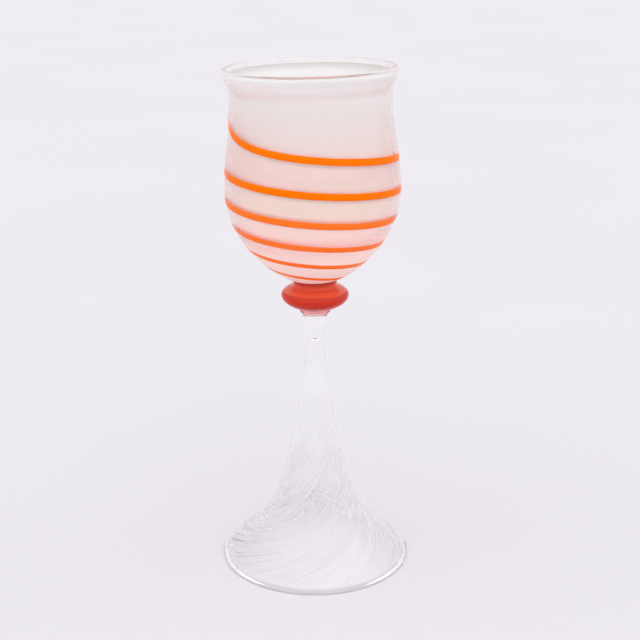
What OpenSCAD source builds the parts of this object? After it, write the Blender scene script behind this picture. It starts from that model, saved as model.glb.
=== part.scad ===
// Hand-made glass goblet: a lined tulip bowl with a wound thread, a knop, and a blown trumpet foot.
// Millimetres, +Z up. The origin is on the table at the centre of the foot.

/* [Bowl] */
// Height of the bowl from its seat on the knop to the rim
bowl_h = 93.8; // [84:0.2:120]
// Outer diameter of the lip
lip_d = 75.6; // [66:0.2:90]
// Outer diameter of the waist under the lip
waist_d = 70.8; // [60:0.2:84]
// Drop from the rim to the waist
waist_drop = 12; // [8:0.5:20]
// Outer diameter of the belly
belly_d = 77.7; // [64:0.2:96]
// Height of the belly above the seat
belly_h = 40.5; // [34:0.5:52]
// Diameter of the flat under the bowl that sits on the knop
seat_d = 21; // [20:0.2:26]
// Rise of the bowl's underside where it leaves the seat, in degrees
seat_rise = 15; // [8:1:30]
// Thickness of the clear casing
casing_t = 2.5; // [1.8:0.1:4]
// Thickness of the coloured lining
lining_t = 0.8; // [0.5:0.1:1.5]
// Thickness of the wall at the lip
lip_t = 2; // [1.6:0.1:4]
// Drop from the lip's rounding to the top edge of the lining
lining_drop = 1; // [0.5:0.5:16]
// Thickness of glass under the middle of the bowl, lining included
bowl_floor_t = 4.4; // [3:0.1:8]
// Lean of the bowl to the left on its seat, in degrees
bowl_lean = 1.3; // [0:0.1:3]

/* [Thread] */
// Width of the thread
thread_w = 3; // [1.5:0.1:4.5]
// Height of the thread's crown over its underside
thread_t = 0.4; // [0.3:0.05:1]
// Turns of the thread round the bowl
thread_turns = 5.5; // [3:0.05:6]
// Distance along the wall from the lip down to the thread's top turn
thread_drop = 29.6; // [20:0.2:40]
// Distance along the wall from the seat up to the thread's lowest turn
thread_foot = 6.2; // [5.6:0.2:12]
// How much farther apart the upper turns lie than an even winding
thread_spread = 0.14; // [0:0.01:0.2]
// How much closer the middle turns lie than an even winding
thread_bunch = 0.12; // [0:0.01:0.3]
// How far the top turn stands high on the left and low on the right
thread_tilt = 1.1; // [0:0.1:3]
// How far the lowest turn stands high on the left and low on the right
thread_tilt_low = 2.9; // [0:0.1:3]
// Rise of the thread's drawn-out top end
thread_rise = 10.1; // [0:0.1:14]
// Gap between the thread's underside and the wall
thread_gap = 0.06; // [0.05:0.01:0.15]

/* [Knop] */
// Diameter of the knop
knop_d = 30.6; // [26:0.2:40]
// Height of the knop's widest line above its lower seat
knop_low_h = 6.2; // [4.5:0.1:9]
// Height of the bowl's seat above the knop's widest line
knop_top_h = 7.7; // [6.6:0.1:12]
// Height at which the knop's upper half would meet the axis, above its widest line
knop_crown_h = 5.7; // [4:0.1:6.6]
// Diameter of the knop's neck under the bowl
neck_d = 19.8; // [16:0.2:20.8]
// Reach of the hollow curve from the knop's upper half into its neck
neck_fillet = 1.5; // [0.8:0.1:2.2]
// Diameter of the seat between knop and joint bit
knop_seat_d = 14.4; // [12:0.2:20]

/* [Joint bit] */
// Height of the bit between knop and stem, a wafer of glass
joint_h = 2.1; // [1.2:0.1:4]
// Diameter of the seat between joint bit and stem
stem_top_d = 13; // [11:0.1:14.4]

/* [Trumpet foot] */
// Height of the trumpet from the table to its seat under the joint bit
trumpet_h = 120.2; // [108:0.2:144]
// Diameter of the stem where it is thinnest
stem_d = 8.7; // [7.6:0.1:11]
// Drop from the top of the trumpet to the thinnest place
stem_waist_drop = 12.2; // [9:0.2:18]
// Rise of the stem's side where it meets the joint bit, in degrees
stem_flare = 45; // [35:1:65]
// Diameter of the knee between stem and skirt
knee_d = 37.8; // [30:0.2:46]
// Height of the knee above the table
knee_h = 30; // [24:0.5:38]
// Slope of the wall at the knee, in degrees above level
knee_slope = 70; // [62:1:76]
// Diameter of the foot
foot_d = 87.8; // [74:0.2:110]
// Height of the foot's rounded edge
foot_edge_h = 1.8; // [1.4:0.1:4]
// Width of the flat ring that the foot stands on
rest_w = 1.3; // [0.8:0.1:3]
// Wall of the skirt and the lower stem
skirt_t = 1.5; // [1:0.1:2.2]
// Drop from the top of the trumpet to the cavity's round top
cavity_drop = 12.2; // [8:0.2:18]
// Diameter of the cavity's round top
cavity_top_d = 2.6; // [2:0.1:4.2]
// Height of the cavity's round top
cavity_top_h = 2; // [1.2:0.1:3]
// Drop from the top of the trumpet to where the cavity's wall is as thin as the skirt's
cavity_taper_drop = 43.2; // [36:0.2:62]

/* [Hidden] */
$fn = 96;

clear_glass = [0.93, 0.95, 0.96, 0.45];
pink_glass = [0.97, 0.84, 0.82, 0.8];
orange_glass = [1, 0.5, 0.08];
coral_glass = [0.84, 0.27, 0.17];

// Segments along a curve of an outline, and along a rounded edge
curve_n = 14;
edge_n = 10;

// Reach of a curve's handles, as a share of the height or width that the curve spans
upright_pull = 0.4;
seat_pull = 0.265;
belly_pull = 0.556;
floor_pull = 0.62;
floor_belly_pull = 0.5;
joint_pull = 0.6;
edge_pull = 0.26;
knee_pull_low = 0.57;
knee_pull_high = 0.315;
stem_pull = 0.268;
stem_top_pull = 0.5;
cavity_pull = 0.35;

// Point on a cubic curve from p[0] to p[3], with its handles at p[1] and p[2].
function curve_at(p, t) =
    pow(1 - t, 3) * p[0] + 3 * pow(1 - t, 2) * t * p[1] + 3 * (1 - t) * t * t * p[2] + t * t * t * p[3];

// Points of that curve without its first, so that one curve can follow another.
function curve(p, n = curve_n) = [for (i = [1:n]) curve_at(p, i / n)];

// Curve that leaves a and reaches b upright.
function upright_curve(a, b) =
    let (pull = [0, upright_pull * (b.y - a.y)])
    curve([a, a + pull, b - pull, b]);

// Points of an ellipse's arc about c.
function arc(c, rx, ry, from, to) =
    [for (i = [0:edge_n]) let (a = from + (to - from) * i / edge_n) c + [rx * cos(a), ry * sin(a)]];

// Unit vector at an angle above level.
function aim(angle) = [cos(angle), sin(angle)];

function reversed(list) = [for (i = [len(list) - 1:-1:0]) list[i]];
function without_first(list) = [for (i = [1:len(list) - 1]) list[i]];
function last(list) = list[len(list) - 1];

// Radius of a rising outline at a height.
function radius_at(pts, z) = lookup(z, [for (p = pts) [p.y, p.x]]);

// Line of points moved sideways by d, to the right of its run.
function beside(pts, d) = [
    for (i = [0:len(pts) - 1])
        let (run = pts[min(i + 1, len(pts) - 1)] - pts[max(i - 1, 0)])
        pts[i] + d * [run.y, -run.x] / norm(run)
];

// Heights of the seats above the table
knop_z = trumpet_h + joint_h;
knop_wide_z = knop_z + knop_low_h;
bowl_z = knop_wide_z + knop_top_h;

// Places on the bowl's outline, measured from its seat
wall_t = casing_t + lining_t;
lip_r = lip_t / 2;
inward = [-wall_t, 0];
seat_edge = [seat_d / 2, 0];
belly = [belly_d / 2, belly_h];
waist = [waist_d / 2, bowl_h - waist_drop];
lip = [lip_d / 2, bowl_h - lip_r];
bowl_floor = [0, bowl_floor_t];
lining_top_z = lip.y - lining_drop;

bowl_outside = concat(
    [seat_edge],
    curve([
        seat_edge,
        seat_edge + seat_pull * (belly.x - seat_edge.x) * aim(seat_rise),
        belly - [0, belly_pull * belly.y],
        belly
    ], 2 * curve_n),
    upright_curve(belly, waist),
    upright_curve(waist, lip)
);

bowl_inside = concat(
    [bowl_floor],
    curve([
        bowl_floor,
        bowl_floor + [floor_pull * (belly.x - wall_t), 0],
        belly + inward - [0, floor_belly_pull * (belly.y - bowl_floor_t)],
        belly + inward
    ], 2 * curve_n),
    upright_curve(belly + inward, waist + inward),
    upright_curve(waist + inward, lip - [lip_t, 0])
);

// The lining covers the inside up to its top edge, and the casing is bare above it.
lining_edge = [radius_at(bowl_inside, lining_top_z), lining_top_z];
lining_inside = concat([for (p = bowl_inside) if (p.y < lining_top_z) p], [lining_edge]);
bare_inside = concat([lining_edge], [for (p = bowl_inside) if (p.y > lining_top_z && p.y < lip.y) p]);
lining_outside = concat([bowl_floor - [0, lining_t]], without_first(beside(lining_inside, lining_t)));

// Puts the bowl and what is on it on the knop, with the bowl's lean.
module on_seat() {
    translate([0, 0, bowl_z])
        rotate([0, -bowl_lean, 0])
            children();
}

module bowl_casing() {
    color(clear_glass)
        on_seat()
            rotate_extrude()
                polygon(concat(
                    [[0, 0]],
                    bowl_outside,
                    without_first(arc(lip - [lip_r, 0], lip_r, lip_r, 0, 180)),
                    reversed(bare_inside),
                    reversed(lining_outside)
                ));
}

module bowl_lining() {
    color(pink_glass)
        on_seat()
            rotate_extrude()
                polygon(concat(lining_outside, reversed(lining_inside)));
}

// Length along the outside of the bowl from the seat to each of its points.
wall_run = [
    for (i = 0, s = 0; i < len(bowl_outside);
         s = s + norm(bowl_outside[min(i + 1, len(bowl_outside) - 1)] - bowl_outside[i]), i = i + 1) s
];
wall_radii = [for (i = [0:len(wall_run) - 1]) [wall_run[i], bowl_outside[i].x]];
wall_heights = [for (i = [0:len(wall_run) - 1]) [wall_run[i], bowl_outside[i].y]];

// Point on the outside of the bowl at a length s along it.
function wall_at(s) = [lookup(s, wall_radii), lookup(s, wall_heights)];

// Direction out of the wall there, taken over a short stretch.
stretch = 0.5;
function out_of_wall(s) =
    let (run = wall_at(s + stretch) - wall_at(s - stretch))
    [run.y, -run.x] / norm(run);

// The thread starts at the left, seen from the front, and goes down across the front to the right.
thread_start = 181;
rings_a_turn = 60;
thread_rings = round(thread_turns * rings_a_turn);
thread_top = last(wall_run) - thread_drop;
// Turns in which the drawn-out top end settles into the winding
settle_turns = 0.068;
// Turns in which each end widens from its tip, and the tip's share of the full width
taper_turns = 0.05;
tip_share = 0.4;

function thread_turn(i) = thread_turns * i / thread_rings;
function thread_angle(i) = thread_start + 360 * thread_turn(i);

// Share of the way down at a share u of the turns.
function thread_way(u) = u + thread_spread * u * (1 - u) + thread_bunch * u * (1 - u) * (1 - 2 * u);

// Length along the wall to the middle of ring i.
function thread_middle(i) =
    thread_top - (thread_top - thread_foot) * thread_way(i / thread_rings)
    - (thread_tilt + (thread_tilt_low - thread_tilt) * i / thread_rings) * cos(thread_angle(i))
    + thread_rise * exp(-thread_turn(i) / settle_turns);

// Half width of ring i.
function thread_half(i) =
    let (from_end = min(thread_turn(i), thread_turns - thread_turn(i)))
    thread_w / 2 * (tip_share + (1 - tip_share) * min(1, from_end / taper_turns));

// The thread's section, in half widths and in heights of its crown.
thread_section = [[-1, 0], [1, 0], [0.72, 0.6], [0.3, 1], [-0.3, 1], [-0.72, 0.6]];
thread_sides = len(thread_section);

function thread_point(i, k) =
    let (
        s = thread_middle(i) + thread_section[k].x * thread_half(i),
        p = wall_at(s) + (thread_gap + thread_section[k].y * thread_t) * out_of_wall(s),
        a = thread_angle(i)
    )
    [p.x * cos(a), p.x * sin(a), p.y];

function thread_index(i, k) = i * thread_sides + k % thread_sides;

thread_points = [for (i = [0:thread_rings], k = [0:thread_sides - 1]) thread_point(i, k)];

thread_faces = concat(
    [for (k = [1:thread_sides - 2]) [thread_index(0, 0), thread_index(0, k + 1), thread_index(0, k)]],
    [for (i = [0:thread_rings - 1], k = [0:thread_sides - 1])
        [thread_index(i, k), thread_index(i + 1, k + 1), thread_index(i + 1, k)]],
    [for (i = [0:thread_rings - 1], k = [0:thread_sides - 1])
        [thread_index(i, k), thread_index(i, k + 1), thread_index(i + 1, k + 1)]],
    [for (k = [1:thread_sides - 2])
        [thread_index(thread_rings, 0), thread_index(thread_rings, k), thread_index(thread_rings, k + 1)]]
);

// Least gap from the lower edge of a turn to the upper edge of the next.
near_rings = 4;
thread_self_gap = min([
    for (i = [0:thread_rings - rings_a_turn - near_rings], k = [-near_rings:near_rings])
        norm(thread_point(i, 0) - thread_point(i + rings_a_turn + k, 1))
]);
echo(thread_self_gap = thread_self_gap);

module spiral_thread() {
    color(orange_glass)
        on_seat()
            polyhedron(thread_points, thread_faces);
}

// The knop's outline runs up its lower half and its upper half, then through a hollow into its neck.
knop_r = knop_d / 2;
neck_r = neck_d / 2;
knop_middle = [0, knop_wide_z];
knop_seat_angle = acos(knop_seat_d / knop_d);
knop_base_h = knop_low_h / sin(knop_seat_angle);
crown_angle = acos((neck_r + neck_fillet) / knop_r);
crown_edge = knop_middle + [knop_r * cos(crown_angle), knop_crown_h * sin(crown_angle)];
neck_corner = [neck_r, crown_edge.y + neck_fillet * knop_crown_h / (knop_r * tan(crown_angle))];
neck_start = neck_corner + [0, neck_fillet];
// Height that the neck runs past the seat before the leaning seat cuts it off
neck_spare = 3;

module knop() {
    color(coral_glass)
        difference() {
            rotate_extrude()
                polygon(concat(
                    [[0, knop_z]],
                    arc(knop_middle, knop_r, knop_base_h, -knop_seat_angle, 0),
                    without_first(arc(knop_middle, knop_r, knop_crown_h, 0, crown_angle)),
                    curve([crown_edge, neck_corner, neck_corner, neck_start], edge_n),
                    [[neck_r, bowl_z + neck_spare], [0, bowl_z + neck_spare]]
                ));
            on_seat()
                translate([-knop_d, -knop_d, 0])
                    cube([2 * knop_d, 2 * knop_d, knop_d]);
        }
}

// The joint bit is a wafer that bulges from the stem's top to the knop's seat.
stem_top = [stem_top_d / 2, trumpet_h];
knop_seat = [knop_seat_d / 2, knop_z];

module joint_bit() {
    color(clear_glass)
        rotate_extrude()
            polygon(concat(
                [[0, trumpet_h], stem_top],
                curve([
                    stem_top,
                    stem_top + joint_pull * [knop_seat.x - stem_top.x, 0],
                    knop_seat - joint_pull * [0, joint_h],
                    knop_seat
                ]),
                [[0, knop_z]]
            ));
}

// Places on the trumpet's outline
edge_r = foot_edge_h / 2;
edge_middle = [foot_d / 2 - edge_r, edge_r];
// Angle at which the skirt leaves the foot's round edge
edge_angle = 35;
skirt_start = edge_middle + edge_r * aim(edge_angle);
knee = [knee_d / 2, knee_h];
stem_waist = [stem_d / 2, trumpet_h - stem_waist_drop];
skirt_rise = knee.y - skirt_start.y;
taper_rise = stem_waist.y - knee.y;
flare_w = stem_top.x - stem_waist.x;
up_the_knee = aim(180 - knee_slope);

skirt_outside = concat(
    [skirt_start],
    curve([
        skirt_start,
        skirt_start + edge_pull * skirt_rise * aim(edge_angle + 90),
        knee - knee_pull_low * skirt_rise * up_the_knee,
        knee
    ]),
    curve([
        knee,
        knee + knee_pull_high * taper_rise * up_the_knee,
        stem_waist - [0, stem_pull * taper_rise],
        stem_waist
    ])
);

// The cavity follows the skirt inside its wall, then narrows to its round top.
cavity_top_r = cavity_top_d / 2;
cavity_dome = [0, trumpet_h - cavity_drop - cavity_top_h];
taper_z = trumpet_h - cavity_taper_drop;
taper_start = [radius_at(skirt_outside, taper_z) - skirt_t, taper_z];
dome_start = cavity_dome + [cavity_top_r, 0];
narrowing = [0, cavity_pull * (dome_start.y - taper_start.y)];
narrowing_lean = [-cavity_pull * (taper_start.x - dome_start.x), 0];
rest_inner = [edge_middle.x - rest_w, 0];

cavity_inside = concat(
    [rest_inner],
    [for (p = beside(skirt_outside, -skirt_t)) if (p.x < rest_inner.x && p.y < taper_z - skirt_t) p],
    [taper_start],
    curve([taper_start, taper_start + narrowing + narrowing_lean, dome_start - narrowing, dome_start]),
    without_first(arc(cavity_dome, cavity_top_r, cavity_top_h, 0, 90))
);

module trumpet_foot() {
    color(clear_glass)
        rotate_extrude()
            polygon(concat(
                arc(edge_middle, edge_r, edge_r, -90, edge_angle),
                without_first(skirt_outside),
                curve([
                    stem_waist,
                    stem_waist + [0, stem_top_pull * stem_waist_drop],
                    stem_top - flare_w * aim(stem_flare),
                    stem_top
                ]),
                [[0, trumpet_h]],
                reversed(cavity_inside)
            ));
}

bowl_casing();
bowl_lining();
spiral_thread();
knop();
joint_bit();
trumpet_foot();
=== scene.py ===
import math

import bpy
import numpy as np
from mathutils import Matrix


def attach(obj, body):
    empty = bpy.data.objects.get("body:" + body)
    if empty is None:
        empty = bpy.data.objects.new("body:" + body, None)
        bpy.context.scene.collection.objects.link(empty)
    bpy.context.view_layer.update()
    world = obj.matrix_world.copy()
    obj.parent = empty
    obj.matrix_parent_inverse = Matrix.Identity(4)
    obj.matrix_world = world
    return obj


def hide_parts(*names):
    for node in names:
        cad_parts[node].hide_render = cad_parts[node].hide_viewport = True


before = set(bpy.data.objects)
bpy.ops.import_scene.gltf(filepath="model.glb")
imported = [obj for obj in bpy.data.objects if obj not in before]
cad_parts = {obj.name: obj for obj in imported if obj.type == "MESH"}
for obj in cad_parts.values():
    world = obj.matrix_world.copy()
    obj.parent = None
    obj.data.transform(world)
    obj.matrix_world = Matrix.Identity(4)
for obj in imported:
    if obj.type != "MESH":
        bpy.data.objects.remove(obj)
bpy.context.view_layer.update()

# Lengths are in millimetres and angles in degrees, as in the part's source, unless a name says otherwise.
MM = 0.001

# Bowl, measured from its seat on the knop
BOWL_Z = 136.2
BOWL_LEAN = 1.3
BOWL_H = 93.8
LIP_R = 37.8
WAIST = (35.4, 81.8)
BELLY = (38.85, 40.5)
SEAT_EDGE = (10.5, 0.0)
SEAT_RISE = 15.0
OUTSIDE_PULLS = (0.265, 0.556)
INSIDE_PULLS = (0.62, 0.5)
WALL_T = 3.3
LIP_T = 2.0
LIP_ROUND = LIP_T / 2
BOWL_FLOOR_T = 4.4

# Opal lining, whose top edge runs out thin
LINING_T = 0.8
LINING_TOP_Z = 91.8
LINING_FEATHER = 6.0
LINING_EDGE_T = 0.3
BARE_SPAN = (LINING_TOP_Z - 0.3, LINING_TOP_Z + 0.6)

# Heights between which painted shade greys the lining's inside towards the lip
INSIDE_SHADE_SPAN = (55.0, 75.0)

# Heights between which the foot of the bowl's wall turns from milky to clear
MILK_SPAN = (14.0, 28.0)

# Dull face of the wall under the lining: its share low in the bowl, the heights between which it rises to
# its full share, and the length over which it ends under the lip
DULL_LOW = 0.5
DULL_SPAN = (40.0, 65.0)
DULL_FADE = 2.0

# Share of that dullness at the lip, and the heights between which the lip takes it
LIP_DULL = 0.4
LIP_SPAN = (LINING_TOP_Z - 1, LINING_TOP_Z + 0.5)

# Thread, laid along the outside of the bowl
THREAD_W = 3.0
THREAD_TURNS = 5.5
THREAD_DROP = 29.6
THREAD_FOOT = 6.2
THREAD_SPREAD = 0.14
THREAD_BUNCH = 0.12
THREAD_TILT = 1.1
THREAD_TILT_LOW = 2.9
THREAD_RISE = 10.1
THREAD_START = 181.0
THREAD_SETTLE = 0.068
THREAD_TAPER = 0.05
THREAD_TIP = 0.4
THREAD_PROUD = 0.12
THREAD_DEEP = 0.3
THREAD_BASE = 0.8
THREAD_CROWN_POWER = 6
THREAD_COLOUR_H = 60.0

# Knop and joint bit
KNOP_Z = 122.3
KNOP_WIDE_Z = 128.5
KNOP_R = 15.3
KNOP_LOW_H = 6.2
KNOP_CROWN_H = 5.7
KNOP_SEAT_R = 7.2
NECK_R = 9.9
NECK_FILLET = 1.5
JOINT_PULL = 0.6

# Trumpet foot
TRUMPET_H = 120.2
STEM_TOP = (6.5, TRUMPET_H)
STEM_FLARE = 45.0
STEM_TOP_PULL = 0.5
STEM_WAIST = (4.35, 108.0)
KNEE = (18.9, 30.0)
KNEE_SLOPE = 70.0
SKIRT_LOW_PULLS = (0.26, 0.57)
SKIRT_HIGH_PULLS = (0.315, 0.268)
FOOT_R = 43.898
EDGE_R = 0.9
EDGE_ANGLE = 35.0
REST_W = 1.3
SKIRT_T = 1.5
CAVITY_TOP_R = 1.3
CAVITY_TOP_H = 2.0
CAVITY_TOP_Z = 108.0
CAVITY_PULL = 0.35
TAPER_Z = 77.0

# Swirled ribs on the skirt. Each wave has its count round the skirt, its share of the depth and its start
# in radians.
RIB_WAVES = ((7, 0.5, 0.7), (12, 0.6, 2.1), (19, 0.8, 0.3), (26, 0.7, 4.0), (33, 0.6, 1.2))
RIB_TOP_Z = 60.0
RIB_FADE = 12.0
RIB_FOOT_SPAN = (EDGE_R, 5.0)
RIB_DEEP = 0.24

# Distances from the axis, and how far round the ribs run there for each millimetre out
RIB_RADII = (15.0, 25.0, 34.0, 42.0)
RIB_SLANTS = (0.6, 2.4, 2.4, 1.4)

# Direction in which painted shade greys the skirt's glass, the distances along it between which it does, and
# how much painted shade it then has
SKIRT_SHADE_AIM = (-0.9, 0.45)
SKIRT_SHADE_SPAN = (-26.0, -6.0)
VEIL_SHADE = 0.5

# Distances from the axis between which the foot's edge takes its full painted shade
RIM_SPAN = (FOOT_R - 1.2, FOOT_R - 0.6)

# Streaks along the ribs, as painted shade and as ridges: how close they lie round the skirt, how long they
# are, how fast they wind outwards, where they end and how deep they are
STREAK_COUNT = 10.0
STREAK_LENGTH = 18.0
STREAK_SLANT = 2.2
STREAK_TOP_Z = 50.0
STREAK_DEEP = 0.5
STREAK_DETAIL = 1.5

# Air gap between lining and casing, which is also how far the joint bit reaches into the stem
SEAM = 0.02

# How far the knop reaches into the bowl, and the joint bit into the knop
SUNK = 0.3

# Mesh fineness
AROUND = 256
TRUMPET_AROUND = 320
CURVE_N = 32
ARC_N = 24
STEM_N = 24
NECK_N = 16
EDGE_N = 14
DOME_N = 12
THREAD_RINGS = 170
THREAD_CROWN_N = 9
SHARP_ANGLE = 50.0

# Faint waves of hand work: their count in a metre, and their depth
WALL_WAVES = (40, 0.006)
KNOP_WAVES = (60, 0.004)

# Colours of the lining at shares of the bowl's height: peach low, pink at the belly and paler at the top,
# with a band painted white just over the waist to lighten the shade that falls there
OPAL_WITH_PAINTED_LIGHT = [
    (0.0, (1.0, 0.9, 0.82)),
    (0.19, (1.0, 0.86, 0.78)),
    (0.29, (0.99, 0.81, 0.765)),
    (0.42, (0.865, 0.73, 0.645)),
    (0.56, (0.84, 0.67, 0.645)),
    (0.7, (0.82, 0.725, 0.7)),
    (0.83, (0.855, 0.825, 0.81)),
    (0.865, (0.875, 0.855, 0.83)),
    (0.9, (1.0, 1.0, 1.0)),
    (0.935, (0.985, 0.995, 0.99)),
    (0.97, (0.885, 0.86, 0.84)),
    (1.0, (0.86, 0.835, 0.82)),
]

# Colours of the thread at shares of its height
ORANGE_COLOURS = [
    (0.0, (1.0, 0.19, 0.012)),
    (0.22, (1.0, 0.195, 0.02)),
    (0.37, (1.0, 0.2, 0.03)),
    (0.55, (0.95, 0.195, 0.022)),
    (0.68, (0.91, 0.175, 0.0)),
]

# Colours of the knop at shares of its height: coral red, with painted light on its lower rim and over its
# upper half, painted shade below its widest, a painted dark line over its widest and painted shade in the
# crease at its neck
CORAL_WITH_PAINTED_LIGHT = [
    (0.0, (0.7, 0.055, 0.028)),
    (0.14, (0.57, 0.018, 0.003)),
    (0.45, (0.61, 0.022, 0.004)),
    (0.56, (0.52, 0.022, 0.005)),
    (0.62, (0.76, 0.095, 0.038)),
    (0.8, (0.76, 0.085, 0.031)),
    (0.95, (0.5, 0.024, 0.009)),
]

# Tints of the joint bit at shares of its height: nearly clear on the stem, and pink painted under the knop
# for the knop's red light that shows there
JOINT_TINTS_WITH_PAINTED_PINK = [
    (0.0, (0.97, 0.9, 0.89)),
    (0.25, (0.95, 0.84, 0.83)),
    (0.4, (0.82, 0.21, 0.23)),
    (1.0, (0.85, 0.25, 0.27)),
]

# Tints of the trumpet by its painted shade, which are clear, painted grey and the foot's edge painted dark,
# and by its streaks of painted shade
PAINTED_SHADE_TINTS = [(0.0, (0.998, 0.998, 0.998)), (0.5, (0.968, 0.966, 0.966)), (1.0, (0.78, 0.777, 0.777))]
STREAK_SHADE_TINTS = [(0.46, (1.0, 1.0, 1.0)), (0.72, (0.93, 0.925, 0.925))]

# Tints of the bowl's wall where it is milky, and of the lining's inside where painted shade greys it
MILK_TINTS = [(0.0, (1.0, 1.0, 1.0)), (1.0, (1.0, 0.695, 0.63))]
INSIDE_SHADE_TINTS = [(0.0, (1.0, 1.0, 1.0)), (1.0, (0.735, 0.735, 0.745))]

# How clear the wall is by its milk, and how rough by its dullness
CLEAR_BY_MILK = [(0.0, (1.0, 1.0, 1.0)), (1.0, (0.0, 0.0, 0.0))]
ROUGH_BY_DULL = [(0.0, (0.0, 0.0, 0.0)), (1.0, (0.5, 0.5, 0.5))]

# How far the glass bends light, and the thread, which is sunk in glass, and the low gloss of coloured glass
GLASS_IOR = 1.5
THREAD_IOR = 1.2
LOW_GLOSS = 0.2

# Floor: its two tones, how many of their patches lie in a metre, its half width in metres, and its drop below
# the foot
FLOOR_LOW = (0.497, 0.489, 0.513)
FLOOR_HIGH = (0.505, 0.497, 0.521)
FLOOR_GRAIN = 3
FLOOR_REACH = 60.0
FLOOR_DROP = 0.1

# Light from each direction: spans of the direction's rise and of its run to the back, and the light at the
# ends of each span
RISE_SPAN = (0.2, 0.95)
RISE_LIGHT = (0.88, 1.5)
BACK_SPAN = (-0.1, 0.6)
BACK_LIGHT = (1.5, 1.0)
LIGHT_COLOUR = (1.0, 0.99, 1.0, 1.0)

# Camera, fitted to the photo
CAMERA_AT = (2.25, -541.0, 290.5)
CAMERA_DOWN = 17.87
CAMERA_LENS = 70.23
CAMERA_SENSOR = 36.0
CAMERA_NEAR = 10.0

# Light passes through many walls of glass before it is spent.
CLEAR_BOUNCES = 96
OTHER_BOUNCES = 64

# Where the bowl's pieces stand: on the knop, leaning to one side
BOWL_PLACE = Matrix.Translation((0, 0, BOWL_Z * MM)) @ Matrix.Rotation(math.radians(-BOWL_LEAN), 4, "Y")


def aim(angle):
    """Unit vector at an angle above level."""
    return np.array([math.cos(math.radians(angle)), math.sin(math.radians(angle))])


def curve(p0, p1, p2, p3, n=CURVE_N):
    """Points of a cubic curve without its first, so that one curve can follow another."""
    t = np.linspace(0, 1, n + 1)[1:, None]
    p0, p1, p2, p3 = (np.asarray(p, float) for p in (p0, p1, p2, p3))
    return (1 - t) ** 3 * p0 + 3 * (1 - t) ** 2 * t * p1 + 3 * (1 - t) * t**2 * p2 + t**3 * p3


def upright_curve(a, b, pull=0.4):
    """Curve that leaves a and reaches b upright."""
    a, b = np.asarray(a, float), np.asarray(b, float)
    handle = np.array([0, pull * (b[1] - a[1])])
    return curve(a, a + handle, b - handle, b)


def arc(middle, rx, ry, start, end, n=ARC_N):
    """Points of an ellipse's arc, both ends included."""
    angles = np.radians(np.linspace(start, end, n + 1))
    return np.asarray(middle, float) + np.stack([rx * np.cos(angles), ry * np.sin(angles)], 1)


def normals_of(points):
    """Unit vectors to the right of a line's run at each of its points."""
    run = np.gradient(points, axis=0)
    run /= np.maximum(np.linalg.norm(run, axis=1, keepdims=True), 1e-9)
    return np.stack([run[:, 1], -run[:, 0]], 1)


def smooth(x, low, high):
    """0 below low, 1 above high, and an S-curve between."""
    t = np.clip((np.asarray(x, float) - low) / (high - low), 0, 1)
    return t * t * (3 - 2 * t)


def add_piece(name, verts, faces, node, slot, material, place=None):
    """Makes a mesh piece from points in millimetres, on the root body and in place of a CAD node."""
    mesh = bpy.data.meshes.new(name)
    mesh.from_pydata((np.asarray(verts) * MM).tolist(), [], faces)
    if place is not None:
        mesh.transform(place)
    mesh.materials.append(material)
    mesh.shade_smooth()
    mesh.set_sharp_from_angle(angle=math.radians(SHARP_ANGLE))
    mesh.validate()
    piece = bpy.data.objects.new(name, mesh)
    bpy.context.scene.collection.objects.link(piece)
    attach(piece, "root")
    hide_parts(node)
    return piece


def revolve(outline, relief=None, around=AROUND):
    """Points and faces of an outline turned round the axis.

    The outline starts and ends on the axis and has the solid on its left. Relief gives how far each point
    moves out of the surface.
    """
    points = np.asarray(outline, float)
    angles = np.arange(around) * 2 * math.pi / around
    moved = np.zeros((len(points), around)) if relief is None else relief(points, angles)
    out = normals_of(points)
    radius = points[:, :1] + out[:, :1] * moved
    height = points[:, 1:] + out[:, 1:] * moved
    grid = np.stack([radius * np.cos(angles), radius * np.sin(angles), height], 2)
    rings = grid[1:-1].reshape(-1, 3)
    last = len(rings)
    verts = np.concatenate([rings, grid[0, :1], grid[-1, :1]])
    verts[last:, :2] = 0
    faces = []
    n = len(points) - 2
    for j in range(around):
        k = (j + 1) % around
        faces.append((last, k, j))
        for i in range(n - 1):
            faces.append((i * around + j, i * around + k, (i + 1) * around + k, (i + 1) * around + j))
        faces.append((last + 1, (n - 1) * around + j, (n - 1) * around + k))
    return verts, faces


# Outlines of the bowl


def bowl_outside():
    """The bowl's outer line from the edge of its seat to its lip."""
    seat, belly = np.array(SEAT_EDGE), np.array(BELLY)
    lip = (LIP_R, BOWL_H - LIP_ROUND)
    out_pull, up_pull = OUTSIDE_PULLS
    low = curve(
        seat,
        seat + out_pull * (belly[0] - seat[0]) * aim(SEAT_RISE),
        belly - (0, up_pull * belly[1]),
        belly,
        2 * CURVE_N,
    )
    return np.concatenate([[seat], low, upright_curve(belly, WAIST), upright_curve(WAIST, lip)])


def bowl_inside():
    """The bowl's inner line from the middle of its floor to its lip."""
    inward = np.array([-WALL_T, 0])
    floor, belly = np.array([0, BOWL_FLOOR_T]), np.array(BELLY) + inward
    waist = np.array(WAIST) + inward
    lip = (LIP_R - LIP_T, BOWL_H - LIP_ROUND)
    out_pull, up_pull = INSIDE_PULLS
    low = curve(
        floor,
        floor + (out_pull * belly[0], 0),
        belly - (0, up_pull * (belly[1] - BOWL_FLOOR_T)),
        belly,
        2 * CURVE_N,
    )
    return np.concatenate([[floor], low, upright_curve(belly, waist), upright_curve(waist, lip)])


def lining_thickness(z):
    """Thickness of the lining at a height."""
    share = smooth(LINING_TOP_Z - np.asarray(z), 0, LINING_FEATHER)
    return LINING_EDGE_T + (LINING_T - LINING_EDGE_T) * share


def lining_outline():
    """The lining, which ends under the lip."""
    inside = bowl_inside()
    inside = inside[inside[:, 1] < LINING_TOP_Z]
    outside = inside + normals_of(inside) * lining_thickness(inside[:, 1:])
    outside[0] = (0, BOWL_FLOOR_T - LINING_T)
    return np.concatenate([outside, inside[::-1]])


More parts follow.
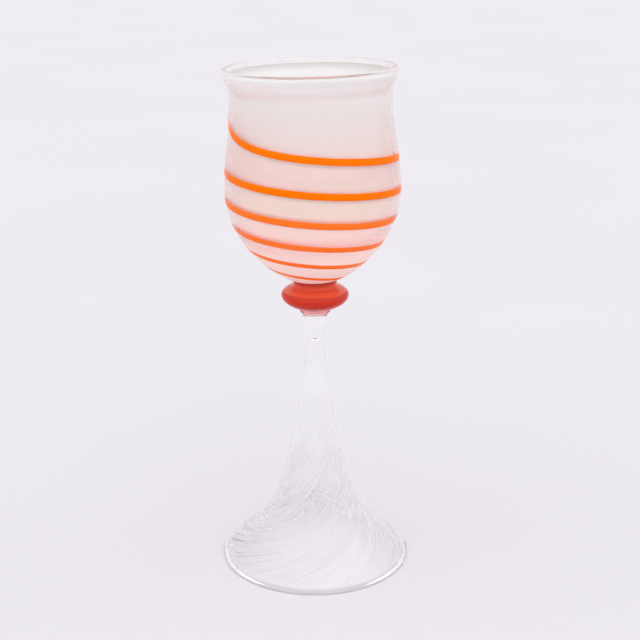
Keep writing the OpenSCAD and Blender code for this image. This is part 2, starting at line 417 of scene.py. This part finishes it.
def casing_outline():
    """The clear wall outside the lining, with the round lip over both."""
    outside = bowl_outside()
    inside = bowl_inside()
    cover = lining_thickness(inside[:, 1:]) + SEAM
    bare = smooth(inside[:, 1:], *BARE_SPAN)
    inside = inside + normals_of(inside) * cover * (1 - bare)
    inside[0] = (0, BOWL_FLOOR_T - LINING_T - SEAM)
    lip = arc((LIP_R - LIP_ROUND, BOWL_H - LIP_ROUND), LIP_ROUND, LIP_ROUND, 0, 180)
    return np.concatenate([[(0, 0)], outside, lip[1:], inside[-2::-1]])


def wall_marks():
    """How milky and how dull the bowl's wall is, at its points."""
    points = casing_outline()
    height = points[:, 1]
    inner = np.arange(len(points)) >= len(points) - len(bowl_inside())
    rising = DULL_LOW + (1 - DULL_LOW) * smooth(height, *DULL_SPAN)
    dull = inner * smooth(LINING_TOP_Z - height, 0, DULL_FADE) * rising
    milk = (1 - inner) * (1 - smooth(height, *MILK_SPAN))
    lip = LIP_DULL * smooth(height, *LIP_SPAN)
    return ring_values(milk), ring_values(np.maximum(np.maximum(milk, lip), dull))


def lining_painted_shade():
    """How much painted shade greys the lining, at its points: only on its inside, towards the lip."""
    points = lining_outline()
    inner = np.arange(len(points)) >= len(points) / 2
    return ring_values(inner * smooth(points[:, 1], *INSIDE_SHADE_SPAN))


def ring_values(values, around=AROUND):
    """Values of an outline's points for the points of its revolved mesh."""
    return np.concatenate([np.repeat(values[1:-1], around), [values[0], values[-1]]])


# The thread


def thread_mesh():
    """The thread, wound down the outside of the bowl, with a thin tip at each end."""
    wall = bowl_outside()
    run = np.concatenate([[0], np.cumsum(np.linalg.norm(np.diff(wall, axis=0), axis=1))])
    out = normals_of(wall)
    top = run[-1] - THREAD_DROP
    turn = np.linspace(0, THREAD_TURNS, round(THREAD_TURNS * THREAD_RINGS) + 1)
    u = turn / THREAD_TURNS
    angle = np.radians(THREAD_START + 360 * turn)
    way = u + THREAD_SPREAD * u * (1 - u) + THREAD_BUNCH * u * (1 - u) * (1 - 2 * u)
    tilt = THREAD_TILT + (THREAD_TILT_LOW - THREAD_TILT) * u
    middle = top - (top - THREAD_FOOT) * way - tilt * np.cos(angle)
    middle += THREAD_RISE * np.exp(-turn / THREAD_SETTLE)
    from_end = np.minimum(turn, THREAD_TURNS - turn)
    half = THREAD_W / 2 * (THREAD_TIP + (1 - THREAD_TIP) * np.minimum(1, from_end / THREAD_TAPER))
    section = thread_section()
    s = middle[:, None] + half[:, None] * section[None, :, 0]
    lift = section[None, :, 1]
    radius = np.interp(s, run, wall[:, 0]) + lift * np.interp(s, run, out[:, 0])
    height = np.interp(s, run, wall[:, 1]) + lift * np.interp(s, run, out[:, 1])
    verts = np.stack([radius * np.cos(angle)[:, None], radius * np.sin(angle)[:, None], height], 2)
    return verts.reshape(-1, 3), tube_faces(len(turn), len(section))


def thread_section():
    """The thread's section: a low crown over a sunk base.

    Its points are in half widths along the wall and in millimetres out of it.
    """
    across = np.linspace(-1, 1, THREAD_CROWN_N)
    crown = THREAD_PROUD * (1 - across**THREAD_CROWN_POWER)
    top = np.stack([across, crown], 1)
    return np.concatenate([top, [(THREAD_BASE, -THREAD_DEEP), (-THREAD_BASE, -THREAD_DEEP)]])


def tube_faces(rings, sides):
    """Faces of a closed tube whose rings run along it, with an end face on each end."""
    faces = [tuple(range(sides))]
    for i in range(rings - 1):
        for k in range(sides):
            m = (k + 1) % sides
            faces.append((i * sides + k, (i + 1) * sides + k, (i + 1) * sides + m, i * sides + m))
    faces.append(tuple((rings - 1) * sides + k for k in reversed(range(sides))))
    return faces


# Knop and joint bit


def knop_outline():
    """A flattened ball on a flat seat, with a short neck that the bowl stands on."""
    seat_angle = math.degrees(math.acos(KNOP_SEAT_R / KNOP_R))
    base_h = KNOP_LOW_H / math.sin(math.radians(seat_angle))
    crown_angle = math.degrees(math.acos((NECK_R + NECK_FILLET) / KNOP_R))
    middle = (0, KNOP_WIDE_Z)
    low = arc(middle, KNOP_R, base_h, -seat_angle, 0)
    crown = arc(middle, KNOP_R, KNOP_CROWN_H, 0, crown_angle)[1:]
    edge = crown[-1]
    rise = NECK_FILLET * KNOP_CROWN_H / (KNOP_R * math.tan(math.radians(crown_angle)))
    corner = np.array([NECK_R, edge[1] + rise])
    start = corner + (0, NECK_FILLET)
    neck = curve(edge, corner, corner, start, NECK_N)
    top_z = BOWL_Z + SUNK
    return np.concatenate([[(0, KNOP_Z)], low, crown, neck, [(NECK_R, top_z), (0, top_z)]])


def knop_mesh():
    """The knop, whose top tilts as the bowl leans."""
    outline = knop_outline()
    verts, faces = revolve(outline)
    top = verts[:, 2] > BOWL_Z
    verts[top, 2] += math.tan(math.radians(BOWL_LEAN)) * verts[top, 0]
    return verts, faces


def joint_outline():
    """A wafer that bulges from the stem's top to the knop's seat."""
    low, high = np.array(STEM_TOP), np.array([KNOP_SEAT_R, KNOP_Z])
    width, height = high - low
    side = curve(low, low + (JOINT_PULL * width, 0), high - (0, JOINT_PULL * height), high, STEM_N)
    end = low - SEAM
    return np.concatenate([[(0, end[1]), end], side, [high + (0, SUNK), (0, KNOP_Z + SUNK)]])


# The trumpet


def skirt_outside():
    """The outer line from the foot's round edge over the knee to the stem's waist."""
    start = np.array([FOOT_R - EDGE_R, EDGE_R]) + EDGE_R * aim(EDGE_ANGLE)
    knee, waist = np.array(KNEE), np.array(STEM_WAIST)
    up_the_knee = aim(180 - KNEE_SLOPE)
    rise = knee[1] - start[1]
    taper = waist[1] - knee[1]
    edge_pull, under_pull = SKIRT_LOW_PULLS
    over_pull, waist_pull = SKIRT_HIGH_PULLS
    low = curve(
        start,
        start + edge_pull * rise * aim(EDGE_ANGLE + 90),
        knee - under_pull * rise * up_the_knee,
        knee,
        2 * CURVE_N,
    )
    high = curve(
        knee,
        knee + over_pull * taper * up_the_knee,
        waist - (0, waist_pull * taper),
        waist,
        2 * CURVE_N,
    )
    return np.concatenate([[start], low, high])


def cavity_inside():
    """The cavity's outline from the ring that it stands on to its round top."""
    skirt = skirt_outside()
    rest = np.array([FOOT_R - EDGE_R - REST_W, 0])
    wall = skirt - SKIRT_T * normals_of(skirt)
    wall = wall[(wall[:, 0] < rest[0]) & (wall[:, 1] < TAPER_Z - SKIRT_T)]
    start = np.array([np.interp(TAPER_Z, skirt[:, 1], skirt[:, 0]) - SKIRT_T, TAPER_Z])
    dome = (0, CAVITY_TOP_Z - CAVITY_TOP_H)
    dome_start = np.array([CAVITY_TOP_R, dome[1]])
    rise = np.array([0, CAVITY_PULL * (dome_start[1] - start[1])])
    lean = np.array([-CAVITY_PULL * (start[0] - dome_start[0]), 0])
    narrow = curve(start, start + rise + lean, dome_start - rise, dome_start)
    top = arc(dome, CAVITY_TOP_R, CAVITY_TOP_H, 0, 90, DOME_N)[1:]
    return np.concatenate([[rest], wall, [start], narrow, top])


def trumpet_outline():
    """The whole trumpet: cavity, foot's edge, skirt, stem and its flared top."""
    edge = arc((FOOT_R - EDGE_R, EDGE_R), EDGE_R, EDGE_R, -90, EDGE_ANGLE, EDGE_N)
    waist, top = np.array(STEM_WAIST), np.array(STEM_TOP)
    flare, rise = top - waist
    stem = curve(waist, waist + (0, STEM_TOP_PULL * rise), top - flare * aim(STEM_FLARE), top, STEM_N)
    cavity = cavity_inside()[::-1]
    return np.concatenate([cavity, edge, skirt_outside()[1:], stem, [(0, TRUMPET_H)]])


def rib_height(points, angles):
    """Height of the swirled ribs, from -1 to 1. They run clockwise on their way down and out."""
    step = np.linalg.norm(np.diff(points, axis=0, prepend=points[:1]), axis=1)
    slant = np.interp(points[:, 0], RIB_RADII, RIB_SLANTS)
    downward = -np.sign(np.gradient(points[:, 1]))
    turn = np.cumsum(step * downward * slant / np.maximum(points[:, 0], 1))
    phase = angles[None, :] + turn[:, None]
    waves = sum(share * np.cos(count * phase + start) for count, share, start in RIB_WAVES)
    return waves / sum(share for count, share, start in RIB_WAVES)


def rib_reach(z, top=RIB_TOP_Z):
    """Share of the ribs' depth at a height: none on the stem above a top and at the foot's edge."""
    return smooth(top - z, 0, RIB_FADE) * smooth(z, *RIB_FOOT_SPAN)


def skirt_painted_shade(points, angles):
    """How much painted shade greys the trumpet's glass: in part over one side of the skirt, and wholly at the
    foot's edge.
    """
    radius, height = points[:, :1], points[:, 1:]
    side = radius * (SKIRT_SHADE_AIM[0] * np.cos(angles) + SKIRT_SHADE_AIM[1] * np.sin(angles))
    veil = smooth(side, *SKIRT_SHADE_SPAN)
    edge = smooth(radius, *RIM_SPAN)
    return np.maximum(VEIL_SHADE * veil * rib_reach(height), edge)


def rib_relief(points, angles):
    """Grooves between the ribs. The cavity's wall, which comes first in the outline, follows them."""
    inner = np.arange(len(points))[:, None] < len(cavity_inside())
    groove = RIB_DEEP * (1 - rib_height(points, angles)) / 2 * rib_reach(points[:, 1:])
    return np.where(inner, groove, -groove)


def trumpet_mesh():
    return revolve(trumpet_outline(), rib_relief, TRUMPET_AROUND)


def trumpet_marks():
    """The skirt's painted shade and the reach of its streaks at the trumpet's points, ring by ring."""
    points = trumpet_outline()
    angles = np.arange(TRUMPET_AROUND) * 2 * math.pi / TRUMPET_AROUND
    painted_shade = skirt_painted_shade(points, angles)
    reach = rib_reach(points[:, 1], STREAK_TOP_Z)
    return np.concatenate([painted_shade[1:-1].ravel(), [0, 0]]), ring_values(reach, TRUMPET_AROUND)


def mark(piece, name, values):
    """Stores a number on each point of a piece, for its material to read."""
    stored = piece.data.attributes.new(name, "FLOAT", "POINT")
    stored.data.foreach_set("value", np.asarray(values, np.float32))


# Materials


def new_material(name):
    material = bpy.data.materials.new(name)
    material.use_nodes = True
    return material, material.node_tree.nodes, material.node_tree.links


def ramp_node(nodes, stops, mode="EASE"):
    """A colour ramp from (place, colour) stops."""
    ramp = nodes.new("ShaderNodeValToRGB")
    ramp.color_ramp.interpolation = mode
    elements = ramp.color_ramp.elements
    elements[0].position, elements[0].color = stops[0][0], (*stops[0][1], 1)
    elements[1].position, elements[1].color = stops[-1][0], (*stops[-1][1], 1)
    for place, colour in stops[1:-1]:
        elements.new(place).color = (*colour, 1)
    return ramp


def noise_node(nodes, links, scale, detail=2.0):
    """Noise in the object's own metres."""
    where = nodes.new("ShaderNodeTexCoord")
    noise = nodes.new("ShaderNodeTexNoise")
    noise.inputs["Scale"].default_value = scale
    noise.inputs["Detail"].default_value = detail
    links.new(where.outputs["Object"], noise.inputs["Vector"])
    return noise


def height_node(nodes, links, low, high):
    """Share of the way up between two heights, in millimetres."""
    where = nodes.new("ShaderNodeTexCoord")
    split = nodes.new("ShaderNodeSeparateXYZ")
    share = nodes.new("ShaderNodeMapRange")
    share.inputs["From Min"].default_value = low * MM
    share.inputs["From Max"].default_value = high * MM
    links.new(where.outputs["Object"], split.inputs["Vector"])
    links.new(split.outputs["Z"], share.inputs["Value"])
    return share


def glass_shader(nodes, roughness, transmission):
    shader = nodes["Principled BSDF"]
    shader.inputs["IOR"].default_value = GLASS_IOR
    shader.inputs["Roughness"].default_value = roughness
    shader.inputs["Transmission Weight"].default_value = transmission
    return shader


def add_waves(nodes, links, shader, scale, depth):
    """Faint waves in the surface, as hand-worked glass has."""
    noise = noise_node(nodes, links, scale, 1.0)
    bump = nodes.new("ShaderNodeBump")
    bump.inputs["Strength"].default_value = 1.0
    bump.inputs["Distance"].default_value = depth * MM
    links.new(noise.outputs["Fac"], bump.inputs["Height"])
    links.new(bump.outputs["Normal"], shader.inputs["Normal"])


def attribute_ramp(nodes, links, name, stops):
    """Colours by a number that is stored on the points."""
    stored = nodes.new("ShaderNodeAttribute")
    stored.attribute_name = name
    ramp = ramp_node(nodes, stops, "LINEAR")
    links.new(stored.outputs["Fac"], ramp.inputs["Fac"])
    return ramp.outputs["Color"]


def wall_glass():
    """Clear glass of the bowl's wall, dull under the lining and milky low on its outside."""
    material, nodes, links = new_material("wall_glass")
    shader = glass_shader(nodes, roughness=0.0, transmission=1.0)
    links.new(attribute_ramp(nodes, links, "milk", MILK_TINTS), shader.inputs["Base Color"])
    links.new(attribute_ramp(nodes, links, "milk", CLEAR_BY_MILK), shader.inputs["Transmission Weight"])
    links.new(attribute_ramp(nodes, links, "dull", ROUGH_BY_DULL), shader.inputs["Roughness"])
    add_waves(nodes, links, shader, *WALL_WAVES)
    return material


def joint_glass():
    """Glass of the joint bit, with pink painted under the knop for the knop's red light that shows there, and
    nearly clear on the stem.
    """
    material, nodes, links = new_material("joint_glass")
    shader = glass_shader(nodes, roughness=0.0, transmission=1.0)
    share = height_node(nodes, links, TRUMPET_H, KNOP_Z)
    tint = ramp_node(nodes, JOINT_TINTS_WITH_PAINTED_PINK, "LINEAR")
    links.new(share.outputs["Result"], tint.inputs["Fac"])
    links.new(tint.outputs["Color"], shader.inputs["Base Color"])
    add_waves(nodes, links, shader, *WALL_WAVES)
    return material


def math_node(nodes, links, operation, *values):
    """Arithmetic on numbers and other nodes' outputs."""
    made = nodes.new("ShaderNodeMath")
    made.operation = operation
    for socket, value in zip(made.inputs, values):
        if isinstance(value, float):
            socket.default_value = value
        else:
            links.new(value, socket)
    return made.outputs["Value"]


def multiply_node(nodes, links, first, second):
    """Two colours multiplied."""
    made = nodes.new("ShaderNodeMix")
    made.data_type = "RGBA"
    made.blend_type = "MULTIPLY"
    made.inputs["Factor"].default_value = 1.0
    links.new(first, made.inputs["A"])
    links.new(second, made.inputs["B"])
    return made


def streak_noise(nodes, links):
    """Noise that is drawn out along lines which wind round the axis on their way out."""
    where = nodes.new("ShaderNodeTexCoord")
    split = nodes.new("ShaderNodeSeparateXYZ")
    links.new(where.outputs["Object"], split.inputs["Vector"])
    x, y = split.outputs["X"], split.outputs["Y"]
    squares = [math_node(nodes, links, "MULTIPLY", v, v) for v in (x, y)]
    radius = math_node(nodes, links, "SQRT", math_node(nodes, links, "ADD", *squares))
    wound = math_node(nodes, links, "LOGARITHM", radius, math.exp(1 / STREAK_SLANT))
    angle = math_node(nodes, links, "ADD", math_node(nodes, links, "ARCTAN2", y, x), wound)
    place = nodes.new("ShaderNodeCombineXYZ")
    for name, operation in (("X", "COSINE"), ("Y", "SINE")):
        turned = math_node(nodes, links, operation, angle)
        links.new(math_node(nodes, links, "MULTIPLY", turned, STREAK_COUNT), place.inputs[name])
    links.new(math_node(nodes, links, "DIVIDE", radius, STREAK_LENGTH * MM), place.inputs["Z"])
    noise = nodes.new("ShaderNodeTexNoise")
    noise.inputs["Scale"].default_value = 1.0
    noise.inputs["Detail"].default_value = STREAK_DETAIL
    links.new(place.outputs["Vector"], noise.inputs["Vector"])
    return noise


def streaked_glass():
    """Clear glass of the trumpet, greyed by painted shade over one side of its skirt and at the foot's edge,
    with ridges and streaks of painted shade along the ribs of its skirt.
    """
    material, nodes, links = new_material("streaked_glass")
    shader = glass_shader(nodes, roughness=0.0, transmission=1.0)
    height = streak_noise(nodes, links).outputs["Fac"]
    # Streaks of painted shade along the ribs
    streaks = ramp_node(nodes, STREAK_SHADE_TINTS)
    links.new(height, streaks.inputs["Fac"])
    # Painted shade over one side of the skirt and at the foot's edge
    painted_shade = attribute_ramp(nodes, links, "painted_shade", PAINTED_SHADE_TINTS)
    tint = multiply_node(nodes, links, painted_shade, streaks.outputs["Color"])
    reach = nodes.new("ShaderNodeAttribute")
    reach.attribute_name = "reach"
    links.new(reach.outputs["Fac"], tint.inputs["Factor"])
    links.new(tint.outputs["Result"], shader.inputs["Base Color"])
    ridges = nodes.new("ShaderNodeBump")
    ridges.inputs["Distance"].default_value = STREAK_DEEP * MM
    links.new(reach.outputs["Fac"], ridges.inputs["Strength"])
    links.new(height, ridges.inputs["Height"])
    links.new(ridges.outputs["Normal"], shader.inputs["Normal"])
    return material


def opal_glass():
    """Milky glass: peach at the foot of the bowl, pink at its belly and paler at its top, with a band painted
    white just over the waist and painted shade inside towards the lip.
    """
    material, nodes, links = new_material("pink_opal")
    shader = glass_shader(nodes, roughness=0.3, transmission=0.25)
    share = height_node(nodes, links, BOWL_Z, BOWL_Z + BOWL_H)
    # The lining's colours, with a band painted white just over the waist against the shade there
    colour = ramp_node(nodes, OPAL_WITH_PAINTED_LIGHT, "LINEAR")
    links.new(share.outputs["Result"], colour.inputs["Fac"])
    # Painted shade: the lining's inside is greyed towards the lip
    inside_shade = attribute_ramp(nodes, links, "inside_shade", INSIDE_SHADE_TINTS)
    tinted = multiply_node(nodes, links, colour.outputs["Color"], inside_shade)
    links.new(tinted.outputs["Result"], shader.inputs["Base Color"])
    return material


def orange_glass():
    """The thread: strong orange, more coral towards the foot of the bowl."""
    material, nodes, links = new_material("orange_thread")
    shader = glass_shader(nodes, roughness=0.1, transmission=0.15)
    shader.inputs["IOR"].default_value = THREAD_IOR
    shader.inputs["Specular IOR Level"].default_value = LOW_GLOSS
    share = height_node(nodes, links, BOWL_Z, BOWL_Z + THREAD_COLOUR_H)
    colour = ramp_node(nodes, ORANGE_COLOURS, "LINEAR")
    links.new(share.outputs["Result"], colour.inputs["Fac"])
    links.new(colour.outputs["Color"], shader.inputs["Base Color"])
    return material


def coral_glass():
    """The knop: cloudy coral red glass, with painted light over its upper half and lower rim and painted
    shade under its widest line and at its neck.
    """
    material, nodes, links = new_material("coral_knop")
    shader = glass_shader(nodes, roughness=0.05, transmission=0.15)
    shader.inputs["Specular IOR Level"].default_value = LOW_GLOSS
    share = height_node(nodes, links, KNOP_Z, BOWL_Z)
    colour = ramp_node(nodes, CORAL_WITH_PAINTED_LIGHT, "LINEAR")
    links.new(share.outputs["Result"], colour.inputs["Fac"])
    links.new(colour.outputs["Color"], shader.inputs["Base Color"])
    add_waves(nodes, links, shader, *KNOP_WAVES)
    return material


def floor_paper():
    """Pale, dull paper with the faintest patches."""
    material, nodes, links = new_material("pale_floor")
    shader = nodes["Principled BSDF"]
    shader.inputs["Roughness"].default_value = 0.9
    shader.inputs["Specular IOR Level"].default_value = 0.1
    noise = noise_node(nodes, links, FLOOR_GRAIN)
    ramp = ramp_node(nodes, [(0.3, FLOOR_LOW), (0.7, FLOOR_HIGH)])
    links.new(noise.outputs["Fac"], ramp.inputs["Fac"])
    links.new(ramp.outputs["Color"], shader.inputs["Base Color"])
    return material


# Studio


def build_floor():
    """A wide floor, just under the foot."""
    mesh = bpy.data.meshes.new("floor")
    level = -FLOOR_DROP * MM
    signs = ((-1, -1), (1, -1), (1, 1), (-1, 1))
    corners = [(x * FLOOR_REACH, y * FLOOR_REACH, level) for x, y in signs]
    mesh.from_pydata(corners, [], [(0, 1, 2, 3)])
    mesh.materials.append(floor_paper())
    floor = bpy.data.objects.new("floor", mesh)
    bpy.context.scene.collection.objects.link(floor)


def map_node(nodes, links, value, span, to_span):
    """Eases a value from one span to another."""
    ease = nodes.new("ShaderNodeMapRange")
    ease.interpolation_type = "SMOOTHSTEP"
    ease.inputs["From Min"].default_value = span[0]
    ease.inputs["From Max"].default_value = span[1]
    ease.inputs["To Min"].default_value = to_span[0]
    ease.inputs["To Max"].default_value = to_span[1]
    links.new(value, ease.inputs["Value"])
    return ease.outputs["Result"]


def build_light():
    """A soft white room, brightest overhead and a little darker behind the goblet."""
    world = bpy.data.worlds.new("studio")
    bpy.context.scene.world = world
    world.use_nodes = True
    nodes, links = world.node_tree.nodes, world.node_tree.links
    where = nodes.new("ShaderNodeTexCoord")
    split = nodes.new("ShaderNodeSeparateXYZ")
    links.new(where.outputs["Generated"], split.inputs["Vector"])
    rise = map_node(nodes, links, split.outputs["Z"], RISE_SPAN, RISE_LIGHT)
    back = map_node(nodes, links, split.outputs["Y"], BACK_SPAN, BACK_LIGHT)
    background = nodes["Background"]
    background.inputs["Color"].default_value = LIGHT_COLOUR
    links.new(math_node(nodes, links, "MULTIPLY", rise, back), background.inputs["Strength"])


def build_camera():
    camera = bpy.data.objects.new("camera", bpy.data.cameras.new("camera"))
    bpy.context.scene.collection.objects.link(camera)
    camera.data.lens = CAMERA_LENS
    camera.data.sensor_width = CAMERA_SENSOR
    camera.data.clip_start = CAMERA_NEAR * MM
    camera.location = [c * MM for c in CAMERA_AT]
    camera.rotation_euler = (math.radians(90 - CAMERA_DOWN), 0, 0)
    bpy.context.scene.camera = camera


def build_goblet():
    """All six pieces. The bowl's three lean with it."""
    trumpet = add_piece("trumpet", *trumpet_mesh(), "trumpet_foot", "clear_glass", streaked_glass())
    painted_shade, reach = trumpet_marks()
    mark(trumpet, "painted_shade", painted_shade)
    mark(trumpet, "reach", reach)
    add_piece("joint_collar", *revolve(joint_outline()), "joint_bit", "clear_glass", joint_glass())
    add_piece("knop_ball", *knop_mesh(), "knop", "coral_glass", coral_glass())
    casing = revolve(casing_outline())
    wall = add_piece("bowl_wall", *casing, "bowl_casing", "clear_glass", wall_glass(), BOWL_PLACE)
    milk, dull = wall_marks()
    mark(wall, "milk", milk)
    mark(wall, "dull", dull)
    lining = revolve(lining_outline())
    opal = add_piece("bowl_opal", *lining, "bowl_lining", "pink_opal_glass", opal_glass(), BOWL_PLACE)
    mark(opal, "inside_shade", lining_painted_shade())
    add_piece("bowl_thread", *thread_mesh(), "spiral_thread", "orange_glass", orange_glass(), BOWL_PLACE)


scene = bpy.context.scene
scene.view_settings.view_transform = "Standard"
scene.cycles.max_bounces = CLEAR_BOUNCES
scene.cycles.transmission_bounces = CLEAR_BOUNCES
scene.cycles.diffuse_bounces = OTHER_BOUNCES
scene.cycles.glossy_bounces = OTHER_BOUNCES
scene.cycles.blur_glossy = 0.0
build_camera()
build_light()
build_floor()
build_goblet()
